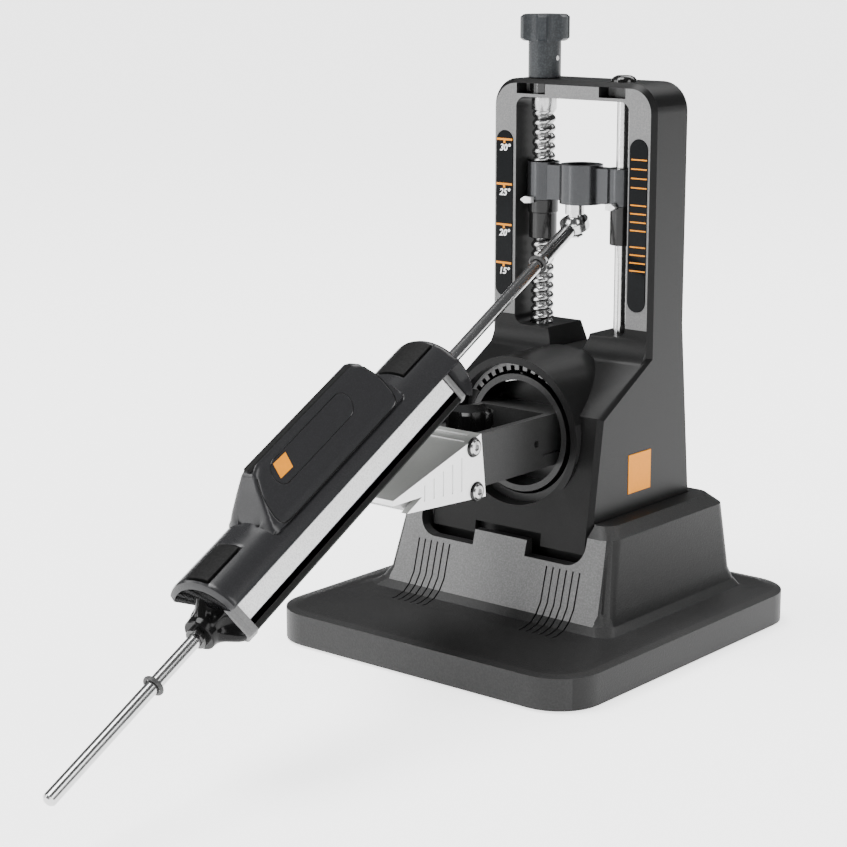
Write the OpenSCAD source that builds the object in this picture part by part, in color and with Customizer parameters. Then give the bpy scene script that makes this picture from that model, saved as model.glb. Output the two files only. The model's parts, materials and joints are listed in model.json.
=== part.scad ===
// Guided-rod honing guide: a weighted foot with a tower, a lead screw that sets the honing angle,
// a turnable knife clamp, and a long guide rod that carries a three-sided abrasive block.
// Millimetres. The origin is on the bench under the middle of the foot: +X right, -Y front, +Z up.

/* [Foot] */
// Width of the foot, side to side
foot_w = 118; // [112:1:126]
// Depth of the foot, front to back
foot_d = 127; // [122:1:136]
// Corner radius of the foot, seen from above
foot_corner_r = 14.6; // [8:0.2:18]

/* [Tower] */
// Width of the tower
tower_w = 62.4; // [60:0.2:64]
// Height of the top of the tower above the bench
tower_top = 173.7; // [172:0.1:178]
// Radius of the tower's top corners
tower_corner_r = 9; // [5:0.5:12]
// Height of the turning axis of the clamp
clamp_z = 66.2; // [65.8:0.1:66.6]

/* [Angle adjuster] */
// Pitch of the lead screw
screw_pitch = 3; // [2:0.5:4]
// Radius over the threads of the lead screw
screw_r = 3.75; // [3.6:0.05:3.75]
// Radius of the plain vertical guide post
post_r = 2; // [1.8:0.1:2]
// Radius of the adjusting knob over its lobes
knob_r = 8.1; // [7:0.1:9]

/* [Guide rod and block] */
// Fall of the guide rod below the horizontal, in degrees
rod_fall = 24.8; // [24:0.1:25]
// Turn of the guide rod towards +X, in degrees
rod_turn = 5.25; // [0:0.25:8]
// Length of the guide rod from the middle of its eye to its tip
rod_len = 267; // [240:1:280]
// Radius of the guide rod
rod_r = 1.9; // [1.7:0.1:1.9]
// Length of one abrasive plate
plate_len = 104; // [98:1:104]
// Width of one abrasive plate
plate_w = 12; // [10:0.5:13]
// Turn of the handle about the rod, in degrees
handle_roll = 3; // [0:1:20]
// Turn of the three-sided bar about the rod, in degrees; at -60 one face lies straight down
bar_roll = -57; // [-60:1:-50]

/* [Hidden] */
$fn = 64;
eps = 0.01;
soft_fn = 32;

// Foot and collar
foot_bottom = 0.6;
foot_side_h = 10.4;
foot_h = 11.7;
foot_bevel = 5.7;
collar_top = 42.5;
collar_bevel_z = 39.3;
collar_bevel = 3;
collar_hx = 44.3;
collar_front = -25.4;
collar_back = 49;
collar_lean = 0.27;
collar_side_lean = 0.115;
collar_back_lean = 0.07;
collar_r = 5.5;
// Flare of the collar's root: height above the foot, and how far it spreads
flare = [[0, 7], [0.9, 3.6], [2.9, 1.4], [6.3, 0]];
socket_gap = 0.4;
socket_front = -16.4;
socket_back = 40.2;
socket_floor = 21.5;
front_cut_hw = 32.3;
front_cut_z = 30.2;
front_cut_r = 6.5;
tab_hw = 10.2;
tab_top = 35;
groove_w = 0.55;
groove_deep = 0.5;
groove_pitch = 2.5;
groove_first_x = 19.2;
groove_count = 6;
groove_top = 28.8;
groove_end_y = -34.5;
cavity_z = [2.5, 8.6];
boss_x = 43;
boss_y = 46;

// Tower
front_y = 15.5;
back_y = 33.4;
edge_c = 1.5;
sill_channel_z = 88.8;
panel_bottom = 32.9;
panel_foot_y = -16;
panel_top_y = -10.2;
panel_top_z = 74.6;
shoulder_y = 33.35;
shoulder_z = 99.5;
back_foot_y = 39.8;
shoulder_front_z = 88.8;
fillet_r = 10.5;
core_z = 22;
core_front = -13;
window_hw = 21.7;
window_bottom = 95;
window_top = 168;
window_r = 3.2;
rotor_bore_r = 22.3;
rotor_bore_back = 2;
journal_r = 14.95;
journal_bore_r = 15;
hump_r = 24.6;
hump_front = -13.5;
// Notches over the top of the ring: first angle, step, last angle
index_notches = [36, 9, 144];
screw_x = -16.2;
post_x = 14.4;
shaft_y = 23;
scale_hw = 3.25;
scale_z = [103.6, 157];
scale_x = [-26.1, 25.6];
tower_screw_at = [[-22, -4], [22, -4], [-22, 31], [22, 31]];

// Carriage and pivot
pointer_z = 135.3;
middle_boss_y = 21.2;
boss_top = 147.3;
nut_top = 143.2;
pivot_y = 17.9;
pivot_z = 128.8;
ball_r = 3.35;
ball_flat = 2.3;
eye_r = 4.6;
eye_hh = 1.4;
pin_r = 2;
spacer_z = 132;
clip_z = 125.2;
left_boss_r = 5.2;

// Block, in the rod's own frame: z runs from the eye to the tip, y is up
bar_r = 11.2;
bar_in = 5.6;
bar_z = [89.5, 193.9];
tube_r = 3;
shell_r = 13.4;
shell_in = 11.3;
shell_z = [85.1, 200];
shell_half_angle = 59;
cap_end = 205;
grip_z = [109.5, 175.5];
grip_top = 26.2;
upper_pad = [88.5, 104, 19];
lower_pad = [184, 198, 15];
upper_ring_z = 24.1;
lower_ring_z = 224.5;

// Clamp
rotor_r = 18.7;
rotor_cup_r = 16.75;
rotor_front = -10.8;
rotor_floor = -1.2;
retainer_y = 33.2;
body_hw = 14.2;
body_hh = 8.1;
head_hw = 19;
cheek_t = 2.2;
channel_hw = 11.8;
channel_floor = 60.5;
bridge_y = [-41, -29];
bridge_z = [68.1, 71.6];
clamp_knob_y = -35;
clamp_knob_z = 72;
head_screw = [-56.9, 72.7];
jaw_pivot = [-55.5, 59.2];

// ---- Shared shapes ----
module rounded_rect(w, d, r) {
    square([w - 2 * r, d], center = true);
    square([w, d - 2 * r], center = true);
    for (sx = [-1, 1], sy = [-1, 1])
        translate([sx * (w / 2 - r), sy * (d / 2 - r)]) circle(r);
}

// A bar with round ends, standing up
module slot_shape(hw, z0, z1) {
    translate([0, (z0 + z1) / 2]) square([2 * hw, z1 - z0 - 2 * hw], center = true);
    for (z = [z0 + hw, z1 - hw]) translate([0, z]) circle(hw);
}

// Puts a shape drawn as x, z on the plane y = y0, with thickness t towards +Y
module face_plate(y0, t) {
    translate([0, y0 + t, 0]) rotate([90, 0, 0]) linear_extrude(t) children();
}

// Puts a shape drawn as y, z across the width w
module side_profile(w) {
    rotate([90, 0, 90]) translate([0, 0, -w / 2]) linear_extrude(w) children();
}

module along_y(x, z, y0, y1, r) {
    translate([x, y1, z]) rotate([90, 0, 0]) cylinder(r = r, h = y1 - y0);
}

module along_x(y, z, x0, x1, r) {
    translate([x0, y, z]) rotate([0, 90, 0]) cylinder(r = r, h = x1 - x0);
}

module along_z(x, y, z0, z1, r) {
    translate([x, y, z0]) cylinder(r = r, h = z1 - z0);
}

module lobed_knob(r, h, lobes, dent_r) {
    difference() {
        cylinder(r = r, h = h);
        for (i = [0:lobes - 1])
            rotate([0, 0, (i + 0.5) * 360 / lobes]) translate([r + dent_r * 0.45, 0, -1])
                cylinder(r = dent_r, h = h + 2);
        rotate_extrude() polygon([[r - 1.1, h + eps], [r + 1, h + eps], [r + 1, h - 1.5]]);
        rotate_extrude() polygon([[r - 1.1, -eps], [r + 1, -eps], [r + 1, 1.5]]);
    }
}

// Puts children in the rod's frame: z along the rod, y up
module rod_frame() {
    translate([0, pivot_y, pivot_z]) rotate([90 + rod_fall, 0, rod_turn]) children();
}

module block_frame() {
    rod_frame() rotate([0, 0, handle_roll]) children();
}

module bar_frame() {
    rod_frame() rotate([0, 0, bar_roll]) children();
}

// ---- Foot ----
module collar_slab(z, grow) {
    rise = z - foot_h;
    hx = collar_hx + grow - collar_side_lean * rise;
    y0 = collar_front - grow + collar_lean * rise;
    y1 = collar_back - collar_back_lean * rise - max(0, -grow);
    translate([0, (y0 + y1) / 2, z]) linear_extrude(eps)
        rounded_rect(2 * hx, y1 - y0, collar_r, $fn = soft_fn);
}

module foot_body() {
    hull() {
        translate([0, 0, foot_bottom]) linear_extrude(foot_side_h - foot_bottom)
            rounded_rect(foot_w, foot_d, foot_corner_r, $fn = soft_fn);
        translate([0, 0, foot_h - eps]) linear_extrude(eps)
            rounded_rect(foot_w - 2 * foot_bevel, foot_d - 2 * foot_bevel,
                foot_corner_r - foot_bevel, $fn = soft_fn);
    }
}

module collar_body() {
    for (i = [0:len(flare) - 2])
        hull() {
            collar_slab(foot_h - 2 * eps + flare[i][0], flare[i][1]);
            collar_slab(foot_h - eps + flare[i + 1][0], flare[i + 1][1]);
        }
    hull() {
        collar_slab(foot_h + flare[len(flare) - 1][0] - 3 * eps, 0);
        collar_slab(collar_bevel_z, 0);
    }
    hull() {
        collar_slab(collar_bevel_z - eps, 0);
        collar_slab(collar_top - eps, -collar_bevel);
    }
}

module front_cut_shape() {
    difference() {
        union() {
            translate([-front_cut_hw, front_cut_z + front_cut_r])
                square([2 * front_cut_hw, collar_top]);
            translate([-front_cut_hw + front_cut_r, front_cut_z])
                square([2 * (front_cut_hw - front_cut_r), collar_top]);
            for (s = [-1, 1])
                translate([s * (front_cut_hw - front_cut_r), front_cut_z + front_cut_r])
                    circle(front_cut_r);
        }
        translate([-tab_hw, front_cut_z - 1]) square([2 * tab_hw, tab_top - front_cut_z + 1]);
    }
}

// Outer line of the collar's front, as [y, z], from the top of a groove to its end on the foot
function front_line() = [
    [collar_front + collar_lean * (groove_top - foot_h), groove_top],
    [collar_front + collar_lean * flare[3][0], foot_h + flare[3][0]],
    [collar_front + collar_lean * flare[2][0] - flare[2][1], foot_h + flare[2][0]],
    [collar_front + collar_lean * flare[1][0] - flare[1][1], foot_h + flare[1][0]],
    [collar_front - flare[0][1], foot_h],
    [groove_end_y, foot_h]];

module groove_cut() {
    line = front_line();
    inner = [for (i = [len(line) - 1:-1:0]) [line[i][0] + groove_deep, line[i][1] - groove_deep]];
    outer = [for (p = line) [p[0] - 2, p[1] + 2]];
    side_profile(groove_w) polygon(concat(outer, inner));
}

module base() color([0.13, 0.13, 0.14]) {
    difference() {
        union() {
            foot_body();
            collar_body();
        }
        // Socket for the tower
        translate([-tower_w / 2 - socket_gap, socket_front, socket_floor])
            cube([tower_w + 2 * socket_gap, socket_back - socket_front, collar_top]);
        face_plate(collar_front - 5, socket_front - collar_front + 8) front_cut_shape();
        for (s = [-1, 1], i = [0:groove_count - 1])
            translate([s * (groove_first_x + i * groove_pitch), 0, 0]) groove_cut();
        // Hollow underside with its cover seat
        difference() {
            translate([0, 0, cavity_z[0]]) linear_extrude(cavity_z[1] - cavity_z[0])
                rounded_rect(foot_w - 14, foot_d - 14, 8);
            for (sx = [-1, 1], sy = [-1, 1])
                along_z(sx * boss_x, sy * boss_y, 0, foot_h, 4);
        }
        translate([0, 0, -1]) linear_extrude(cavity_z[0] + 1)
            rounded_rect(foot_w - 8, foot_d - 8, 11);
        for (sx = [-1, 1], sy = [-1, 1]) along_z(sx * boss_x, sy * boss_y, 1, 9, 1.25);
        for (p = tower_screw_at) along_z(p[0], p[1], 5, socket_floor + 1, 1.9);
    }
}

module base_plate() color([0.25, 0.25, 0.27])
    difference() {
        translate([0, 0, 1.2]) linear_extrude(cavity_z[0] - 1.2)
            rounded_rect(foot_w - 8.4, foot_d - 8.4, 10.8);
        for (sx = [-1, 1], sy = [-1, 1]) along_z(sx * boss_x, sy * boss_y, 1, 3, 1.5);
    }

module base_pad() color([0.08, 0.08, 0.08])
    difference() {
        linear_extrude(1.2) rounded_rect(foot_w - 8.4, foot_d - 8.4, 10.8);
        for (sx = [-1, 1], sy = [-1, 1]) along_z(sx * boss_x, sy * boss_y, -1, 2, 3.2);
    }

module base_plate_screws() color("silver")
    for (sx = [-1, 1], sy = [-1, 1]) {
        along_z(sx * boss_x, sy * boss_y, 0.3, 1.2, 2.8);
        along_z(sx * boss_x, sy * boss_y, 1.1, 8.2, 1.25);
    }

// ---- Tower ----
module upper_outline(inset) {
    r = tower_corner_r - inset;
    hw = tower_w / 2 - inset;
    translate([-hw, panel_top_z]) square([2 * hw, tower_top - inset - r - panel_top_z]);
    translate([-hw + r, panel_top_z]) square([2 * (hw - r), tower_top - inset - panel_top_z]);
    for (s = [-1, 1]) translate([s * (hw - r), tower_top - inset - r]) circle(r, $fn = 48);
}

module upper_frame() {
    hull() {
        face_plate(front_y, eps) upper_outline(edge_c);
        face_plate(front_y + edge_c, back_y - front_y - edge_c) upper_outline(0);
    }
}

// Leaning lower block with its sloping shoulder; shift moves its front faces back
module lower_profile(shift) {
    polygon([[panel_foot_y + shift, panel_bottom + shift], [panel_top_y + shift, panel_top_z - shift / 2],
        [shoulder_y, shoulder_z - shift / 2], [back_foot_y, panel_bottom + shift]]);
}

module lower_block() {
    hull() {
        side_profile(tower_w - 2 * edge_c) lower_profile(0);
        side_profile(tower_w) lower_profile(edge_c);
    }
}

module shoulder_fillet() {
    zc = shoulder_front_z + 0.59 * fillet_r;
    run = 0.59 * fillet_r;
    side_profile(tower_w - 2 * edge_c)
        difference() {
            polygon([[front_y + 2, shoulder_front_z - 4], [front_y + 2, zc], [front_y, zc],
                [front_y - run * 0.875, shoulder_front_z - run * 0.484],
                [front_y - run * 0.875, shoulder_front_z - run * 0.484 - 1]]);
            translate([front_y - fillet_r, zc]) circle(fillet_r, $fn = 96);
        }
}

module window_shape() {
    translate([0, (window_bottom + window_top) / 2])
        rounded_rect(2 * window_hw, window_top - window_bottom, window_r);
}

module tower() color([0.10, 0.10, 0.11])
    difference() {
        union() {
            upper_frame();
            lower_block();
            shoulder_fillet();
            along_y(0, clamp_z, hump_front, front_y + 2, hump_r);
            translate([-tower_w / 2 + 0.8, core_front, core_z])
                cube([tower_w - 1.6, 39.3 - core_front, panel_bottom - core_z + 3]);
        }
        face_plate(front_y - 5, 45) window_shape();
        // Channel through the sill that lets the rod drop low
        face_plate(front_y - 3, 30)
            polygon([[-6.1, sill_channel_z], [6.1, sill_channel_z],
                [10.4, sill_channel_z + 12], [-10.4, sill_channel_z + 12]]);
        // Cut-outs in the front of the top bar, where the shafts show
        for (x = [[-21.6, 11.2], [10.2, 10]])
            translate([x[0], front_y - 1, 169]) cube([x[1], shaft_y - front_y - 1.2, 3.3]);
        // Seat, bearing and rear recess of the turning clamp
        along_y(0, clamp_z, hump_front - 5, rotor_bore_back, rotor_bore_r);
        along_y(0, clamp_z, 0, 50, journal_bore_r);
        along_y(0, clamp_z, retainer_y - 0.2, 50, 18.4);
        // Lead screw and guide post
        along_z(screw_x, shaft_y, window_top - 3, tower_top + 1, 4.6);
        along_z(screw_x, shaft_y, 84, window_bottom + 1, 4);
        along_z(post_x, shaft_y, 86, window_bottom + 1, post_r);
        along_z(post_x, shaft_y, window_top - 1, tower_top + 1, post_r);
        // Shallow seats of the scale plates
        for (x = scale_x)
            face_plate(front_y - 1, 1.5) translate([x, 0])
                slot_shape(scale_hw + 0.1, scale_z[0] - 0.1, scale_z[1] + 0.1);
        // Notch over the foot's tab
        translate([-12.9, -20, panel_bottom - 5]) cube([25.8, 20 + core_front, 8.9]);
        translate([tower_w / 2 - 0.5, 4.7, 48.2]) cube([2, 12.4, 12.6]);
        for (p = tower_screw_at) along_z(p[0], p[1], core_z - 1, 34, 1.6);
    }

module tower_screws() color("silver")
    for (p = tower_screw_at) {
        along_z(p[0], p[1], cavity_z[1] - 2.4, cavity_z[1], 3.4);
        along_z(p[0], p[1], cavity_z[1] - 0.1, 33.5, 1.6);
    }

module scale_plate(x) {
    face_plate(front_y - 0.3, 0.8) translate([x, 0]) slot_shape(scale_hw, scale_z[0], scale_z[1]);
}

module left_scale_plate() color([0.05, 0.05, 0.05]) scale_plate(scale_x[0]);
module right_scale_plate() color([0.05, 0.05, 0.05]) scale_plate(scale_x[1]);

module side_badge() color("orange")
    translate([tower_w / 2 - 0.5, 4.8, 48.3]) cube([0.7, 12.2, 12.4]);

module top_bush() color("silver")
    difference() {
        along_z(screw_x, shaft_y, window_top - 0.2, tower_top, 4.6);
        along_z(screw_x, shaft_y, window_top - 2, tower_top + 1, 3.05);
    }

module bottom_bush() color([0.2, 0.2, 0.22])
    difference() {
        along_z(screw_x, shaft_y, 84, window_bottom, 4);
        along_z(screw_x, shaft_y, 85, window_bottom + 1, 2.55);
    }

module guide_post() color("silver")
    difference() {
        along_z(post_x, shaft_y, 86, tower_top - 0.2, post_r);
        along_z(post_x, shaft_y, tower_top - 12, tower_top, 1.25);
    }

module guide_post_screw() color([0.15, 0.15, 0.15])
    difference() {
        union() {
            translate([post_x, shaft_y, tower_top])
                rotate_extrude() polygon([[0, 0], [4, 0], [3.9, 0.7], [3.3, 1.4], [2.3, 1.9], [0, 2.1]]);
            along_z(post_x, shaft_y, tower_top - 10, tower_top + 0.5, 1.25);
        }
        translate([post_x, shaft_y, tower_top + 1]) cylinder(r = 1.5, h = 3, $fn = 6);
    }

module index_ring() color([0.5, 0.5, 0.5])
    face_plate(-9.5, 2.5) translate([0, clamp_z])
        difference() {
            circle(rotor_bore_r);
            circle(19.6);
            for (a = [index_notches[0]:index_notches[1]:index_notches[2]])
                rotate(a) translate([19, -0.7]) square([2.1, 1.4]);
        }

// ---- Angle adjuster ----
module lead_screw() color("silver") {
    threads = floor((163 - window_bottom - 1) / screw_pitch);
    root = screw_r - 0.8;
    translate([screw_x, shaft_y, 0]) rotate_extrude() polygon(concat(
        [[0, 86], [2.5, 86], [2.5, window_bottom + 0.3], [root, window_bottom + 0.3]],
        [for (i = [0:threads - 1], k = [0:3])
            [k == 1 || k == 2 ? screw_r : root,
             window_bottom + 1 + (i + [0.1, 0.32, 0.6, 0.82][k]) * screw_pitch]],
        [[root, 163.4], [4, 163.6], [4, 167.6], [3, 167.6], [3, 189], [0, 189]]));
}

module adjust_knob() color([0.2, 0.2, 0.21])
    difference() {
        translate([screw_x, shaft_y, 0]) {
            translate([0, 0, 185.4]) lobed_knob(knob_r, 8.2, 6, 3.6);
            translate([0, 0, tower_top + 0.3]) cylinder(r = 5.2, h = 185.6 - tower_top);
        }
        along_z(screw_x, shaft_y, 170, 189.1, 3);
        along_x(shaft_y, 180, screw_x - 6, screw_x + 6, 0.8);
    }

module knob_pin() color("silver")
    difference() {
        along_x(shaft_y, 180, screw_x - 5.1, screw_x + 5.1, 0.8);
        along_z(screw_x, shaft_y, 178, 182, 3);
    }

module lead_screw_clip() color("silver")
    difference() {
        along_z(screw_x, shaft_y, tower_top + 0.05, tower_top + 0.25, 4.9);
        along_z(screw_x, shaft_y, tower_top - 1, tower_top + 1, 3);
    }

// ---- Carriage ----
module carriage() color([0.16, 0.16, 0.18])
    difference() {
        union() {
            along_z(screw_x, shaft_y, pointer_z, boss_top, left_boss_r);
            along_z(0, middle_boss_y, pointer_z - 0.2, boss_top + 0.2, 6.9);
            along_z(post_x, shaft_y, pointer_z, boss_top - 0.4, 4.7);
            translate([screw_x, 19.6, pointer_z + 0.3])
                cube([post_x - screw_x, 5.8, boss_top - pointer_z - 1]);
        }
        along_z(screw_x, shaft_y, pointer_z - 2, boss_top + 2, 4.6);
        along_z(post_x, shaft_y, pointer_z - 2, boss_top + 2, 3);
        along_z(0, pivot_y, pointer_z - 2, pointer_z + 4, pin_r);
        along_z(0, middle_boss_y, boss_top - 1.2, boss_top + 1, 4.4);
    }

module drive_nut() color([0.2, 0.2, 0.22])
    difference() {
        along_z(screw_x, shaft_y, pointer_z + 0.5, nut_top, 4.6);
        along_z(screw_x, shaft_y, pointer_z, boss_top + 1, screw_r + 0.07);
    }

module nut_sleeve() color([0.06, 0.06, 0.06])
    difference() {
        union() {
            along_z(screw_x, shaft_y, 122.8, pointer_z, 4.5);
            along_z(screw_x, shaft_y, 131, pointer_z, 4.9);
        }
        along_z(screw_x, shaft_y, 122, pointer_z + 1, screw_r + 0.08);
    }

module guide_sleeve() color([0.06, 0.06, 0.06])
    difference() {
        union() {
            along_z(post_x, shaft_y, 122.9, pointer_z, 3.7);
            along_z(post_x, shaft_y, pointer_z - 1, boss_top - 0.5, 3);
        }
        along_z(post_x, shaft_y, 122, boss_top + 1, post_r + 0.05);
    }

// Small arrow that points at a scale, from its root to its tip; s is the side
module pointer(s, root_x, tip_x) {
    face_plate(front_y + 0.4, 1.2)
        polygon([[s * root_x, pointer_z - 0.9], [s * root_x, pointer_z + 0.9],
            [s * (tip_x - 1.7), pointer_z + 1.1], [s * tip_x, pointer_z],
            [s * (tip_x - 1.7), pointer_z - 1.1]]);
    translate([min(s * root_x, s * (root_x + 2.4)), front_y + 1.5, pointer_z - 0.9])
        cube([2.4, 3.9, 1.8]);
}

module left_pointer() color([0.7, 0.7, 0.7])
    difference() {
        pointer(-1, 16, 20.3);
        along_z(screw_x, shaft_y, pointer_z - 5, boss_top, left_boss_r);
    }

module right_pointer() color([0.7, 0.7, 0.7])
    difference() {
        pointer(1, 13, 16.8);
        along_z(post_x, shaft_y, pointer_z - 5, boss_top, 4.7);
    }

module pivot_post() color("silver")
    difference() {
        union() {
            along_z(0, pivot_y, clip_z - 0.5, pointer_z + 3.9, pin_r);
            along_z(0, pivot_y, spacer_z, pointer_z - 0.25, 3);
        }
        difference() {
            along_z(0, pivot_y, clip_z - 0.1, clip_z + 0.6, pin_r + 1);
            along_z(0, pivot_y, clip_z - 0.2, clip_z + 0.7, 1.5);
        }
    }

module pivot_clip() color([0.2, 0.2, 0.2])
    difference() {
        along_z(0, pivot_y, clip_z, clip_z + 0.5, 2.7);
        along_z(0, pivot_y, clip_z - 1, clip_z + 1, 1.5);
    }

// ---- Rod ----
module swivel_ball() color("silver")
    difference() {
        translate([0, pivot_y, pivot_z]) sphere(ball_r);
        along_z(0, pivot_y, pivot_z - 6, pivot_z + 6, pin_r + 0.04);
        along_z(0, pivot_y, pivot_z + ball_flat, pivot_z + 6, ball_r + 1);
        along_z(0, pivot_y, pivot_z - 6, pivot_z - ball_flat, ball_r + 1);
    }

module rod_eye() color("silver")
    rod_frame()
        difference() {
            union() {
                rotate([90, 0, 0]) cylinder(r = eye_r, h = 2 * eye_hh, center = true);
                translate([0, 0, 4]) cylinder(r = 2.3, h = 17.6);
            }
            sphere(ball_r + 0.05);
            translate([0, 0, 5]) cylinder(r = rod_r, h = 18);
        }

module guide_rod() color("silver")
    rod_frame() {
        translate([0, 0, 5]) cylinder(r = rod_r, h = rod_len - 5.6);
        translate([0, 0, rod_len - 0.6]) rotate_extrude()
            polygon([[0, 0], [rod_r, 0], [rod_r - 0.6, 0.6], [0, 0.6]]);
    }

module stop_ring(z) {
    rod_frame() translate([0, 0, z]) rotate_extrude() translate([rod_r + 0.62, 0]) circle(0.57, $fn = 20);
}

module upper_stop_ring() color([0.2, 0.2, 0.2]) stop_ring(upper_ring_z);
module lower_stop_ring() color([0.2, 0.2, 0.2]) stop_ring(lower_ring_z);

// ---- Block ----
module guide_tube() color([0.2, 0.2, 0.22])
    block_frame() difference() {
        translate([0, 0, shell_z[0] - 1.5]) cylinder(r = tube_r, h = cap_end + 3 - shell_z[0]);
        translate([0, 0, 70]) cylinder(r = rod_r + 0.05, h = 150);
    }

// Outline of the three-sided bar, with blunt corners; grow moves the faces out
module triangle(r, blunt) {
    intersection() {
        rotate(30) circle(r * 1.02 + 0.001, $fn = 3);
        circle(r - blunt);
    }
}

module abrasive_bar() color([0.08, 0.08, 0.08])
    bar_frame() difference() {
        translate([0, 0, bar_z[0]]) linear_extrude(bar_z[1] - bar_z[0]) triangle(bar_r, 0.3);
        for (i = [0:2])
            rotate([0, 0, i * 120]) translate([-plate_w / 2, bar_in - 1.1, bar_z[0] + 0.2])
                cube([plate_w, 3, plate_len]);
        translate([0, 0, 80]) cylinder(r = tube_r + 0.04, h = 125);
    }

// One abrasive plate on face i; face 2 lies underneath, against the blade
module abrasive_plate(i) {
    bar_frame() rotate([0, 0, i * 120]) translate([-plate_w / 2, bar_in - 1.1, bar_z[0] + 0.2])
        cube([plate_w, 1.1, plate_len]);
}

module plate_coarse() color([0.85, 0.85, 0.87]) abrasive_plate(0);
module plate_fine() color([0.8, 0.8, 0.82]) abrasive_plate(2);
module plate_ceramic() color([0.95, 0.95, 0.93]) abrasive_plate(1);

module end_plate(z0, z1) {
    bar_frame() difference() {
        translate([0, 0, z0]) linear_extrude(z1 - z0) triangle(12.6, 1.5);
        translate([0, 0, z0 - 1]) cylinder(r = tube_r + 0.04, h = z1 - z0 + 2);
    }
}

module upper_end_plate() color([0.45, 0.46, 0.48]) end_plate(bar_z[0] - 2, bar_z[0]);
module lower_end_plate() color([0.45, 0.46, 0.48]) end_plate(bar_z[1], bar_z[1] + 2.2);

// Shallow fluted dome that closes the end of the bar, with a hub for the guide tube
module finned_cap() color([0.05, 0.05, 0.05])
    bar_frame() translate([0, 0, bar_z[1] + 2.3]) difference() {
        hub_z = cap_end - bar_z[1] - 2.3;
        union() {
            rotate_extrude()
                polygon([[0, 0], [11.1, 0], [11.1, 2.6], [7.5, 5], [4.8, 6.2], [4.8, hub_z], [0, hub_z]]);
            for (i = [0:5])
                rotate([0, 0, i * 60 + 30]) rotate([90, 0, 0]) translate([0, 0, -0.8])
                    linear_extrude(1.6)
                        polygon([[0, 0], [11.1, 0], [11.1, 4.2], [6, 7.2], [4.8, 7.8], [0, 7.8]]);
        }
        translate([0, 0, -1]) cylinder(r = tube_r + 0.04, h = 20);
    }

// Curved shell over the top of the bar, open towards the knife
module shell_outline() {
    difference() {
        circle(shell_r);
        circle(shell_in);
        polygon([[0, 0], [30 * sin(shell_half_angle), 30 * cos(shell_half_angle)], [30, -30],
            [-30, -30], [-30 * sin(shell_half_angle), 30 * cos(shell_half_angle)]]);
    }
}

// Round end of the shell, cut away below, which turns on the guide tube
module shell_end_outline() {
    difference() {
        circle(shell_r);
        translate([-30, -34.8]) square([60, 30]);
        circle(tube_r + 0.05);
    }
}

// Raised grip: its outline across the rod, from the shell up to the ridge
module grip_outline() {
    difference() {
        polygon([[-9.6, 7.4], [-2.4, grip_top - 1.2], [-1.2, grip_top], [1.2, grip_top],
            [2.4, grip_top - 1.2], [9.6, 7.4]]);
        circle(shell_in + 0.7);
    }
}

module handle() color([0.12, 0.12, 0.12])
    block_frame() difference() {
        union() {
            translate([0, 0, shell_z[0] + 1.3]) linear_extrude(shell_z[1] - shell_z[0] - 1.3)
                shell_outline();
            translate([0, 0, shell_z[0]]) linear_extrude(2.3) shell_end_outline();
            intersection() {
                translate([0, 0, grip_z[0]]) linear_extrude(grip_z[1] - grip_z[0]) grip_outline();
                side_profile(60) polygon([[5, grip_z[0] - 0.1], [13, grip_z[0] + 1], [20, grip_z[0] + 4.5],
                    [grip_top + 0.1, grip_z[0] + 9], [grip_top + 0.1, grip_z[1] - 7.5],
                    [22, grip_z[1] - 4.5], [13, grip_z[1] - 0.1], [5, grip_z[1] + 0.1]]);
            }
        }
        pad_seat(upper_pad);
        pad_seat(lower_pad);
        translate([0, 0, 119.8]) linear_extrude(40.4) pad_outline(9, shell_in + 0.5, 20.5);
    }

// Seat of a grip pad, given as [start, end, half angle]
module pad_seat(pad) {
    translate([0, 0, pad[0]]) linear_extrude(pad[1] - pad[0])
        pad_outline(shell_r - 0.9, shell_r + 2, pad[2]);
}

module pad_outline(r0, r1, half_angle) {
    difference() {
        circle(r1);
        circle(r0);
        polygon([[0, 0], [40 * sin(half_angle), 40 * cos(half_angle)], [40, -40], [-40, -40],
            [-40 * sin(half_angle), 40 * cos(half_angle)]]);
    }
}

module grip_pad(pad) {
    block_frame() translate([0, 0, pad[0] + 0.1]) linear_extrude(pad[1] - pad[0] - 0.2)
        pad_outline(shell_r - 0.9, shell_r + 0.3, pad[2] - 0.4);
}

module upper_grip_pad() color([0.04, 0.04, 0.04]) grip_pad(upper_pad);
module lower_grip_pad() color([0.04, 0.04, 0.04]) grip_pad(lower_pad);

module index_spring() color("silver")
    block_frame() translate([0, 0, 120]) linear_extrude(40)
        pad_outline(shell_in + 0.1, shell_in + 0.5, 20);

// ---- Turning clamp ----
module rotor() color([0.3, 0.3, 0.32])
    difference() {
        union() {
            along_y(0, clamp_z, rotor_front, 1.7, rotor_r);
            along_y(0, clamp_z, 1.6, retainer_y, journal_r);
        }
        along_y(0, clamp_z, rotor_front - 1, rotor_floor, rotor_cup_r);
        along_y(0, clamp_z, 4, retainer_y + 1, 11);
        for (a = [0:120:240])
            translate([0, 0, clamp_z]) rotate([0, a, 0]) along_y(13, 0, 24, retainer_y + 1, 1.2);
        translate([0, -8.25, clamp_z]) cylinder(r = 1.25, h = 25);
    }

module rotor_retainer() color([0.1, 0.1, 0.1])
    difference() {
        along_y(0, clamp_z, retainer_y, retainer_y + 2, 17.6);
        for (a = [0:120:240])
            translate([0, 0, clamp_z]) rotate([0, a, 0]) along_y(13, 0, 24, retainer_y + 4, 1.3);
        along_y(0, clamp_z, retainer_y + 1.2, retainer_y + 4, 9);
    }

module rotor_screws() color("silver")
    for (a = [0:120:240])
        translate([0, 0, clamp_z]) rotate([0, a, 0]) {
            along_y(13, 0, 25, retainer_y + 2.1, 1.2);
            along_y(13, 0, retainer_y + 2, retainer_y + 3.4, 2.2);
        }

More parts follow.
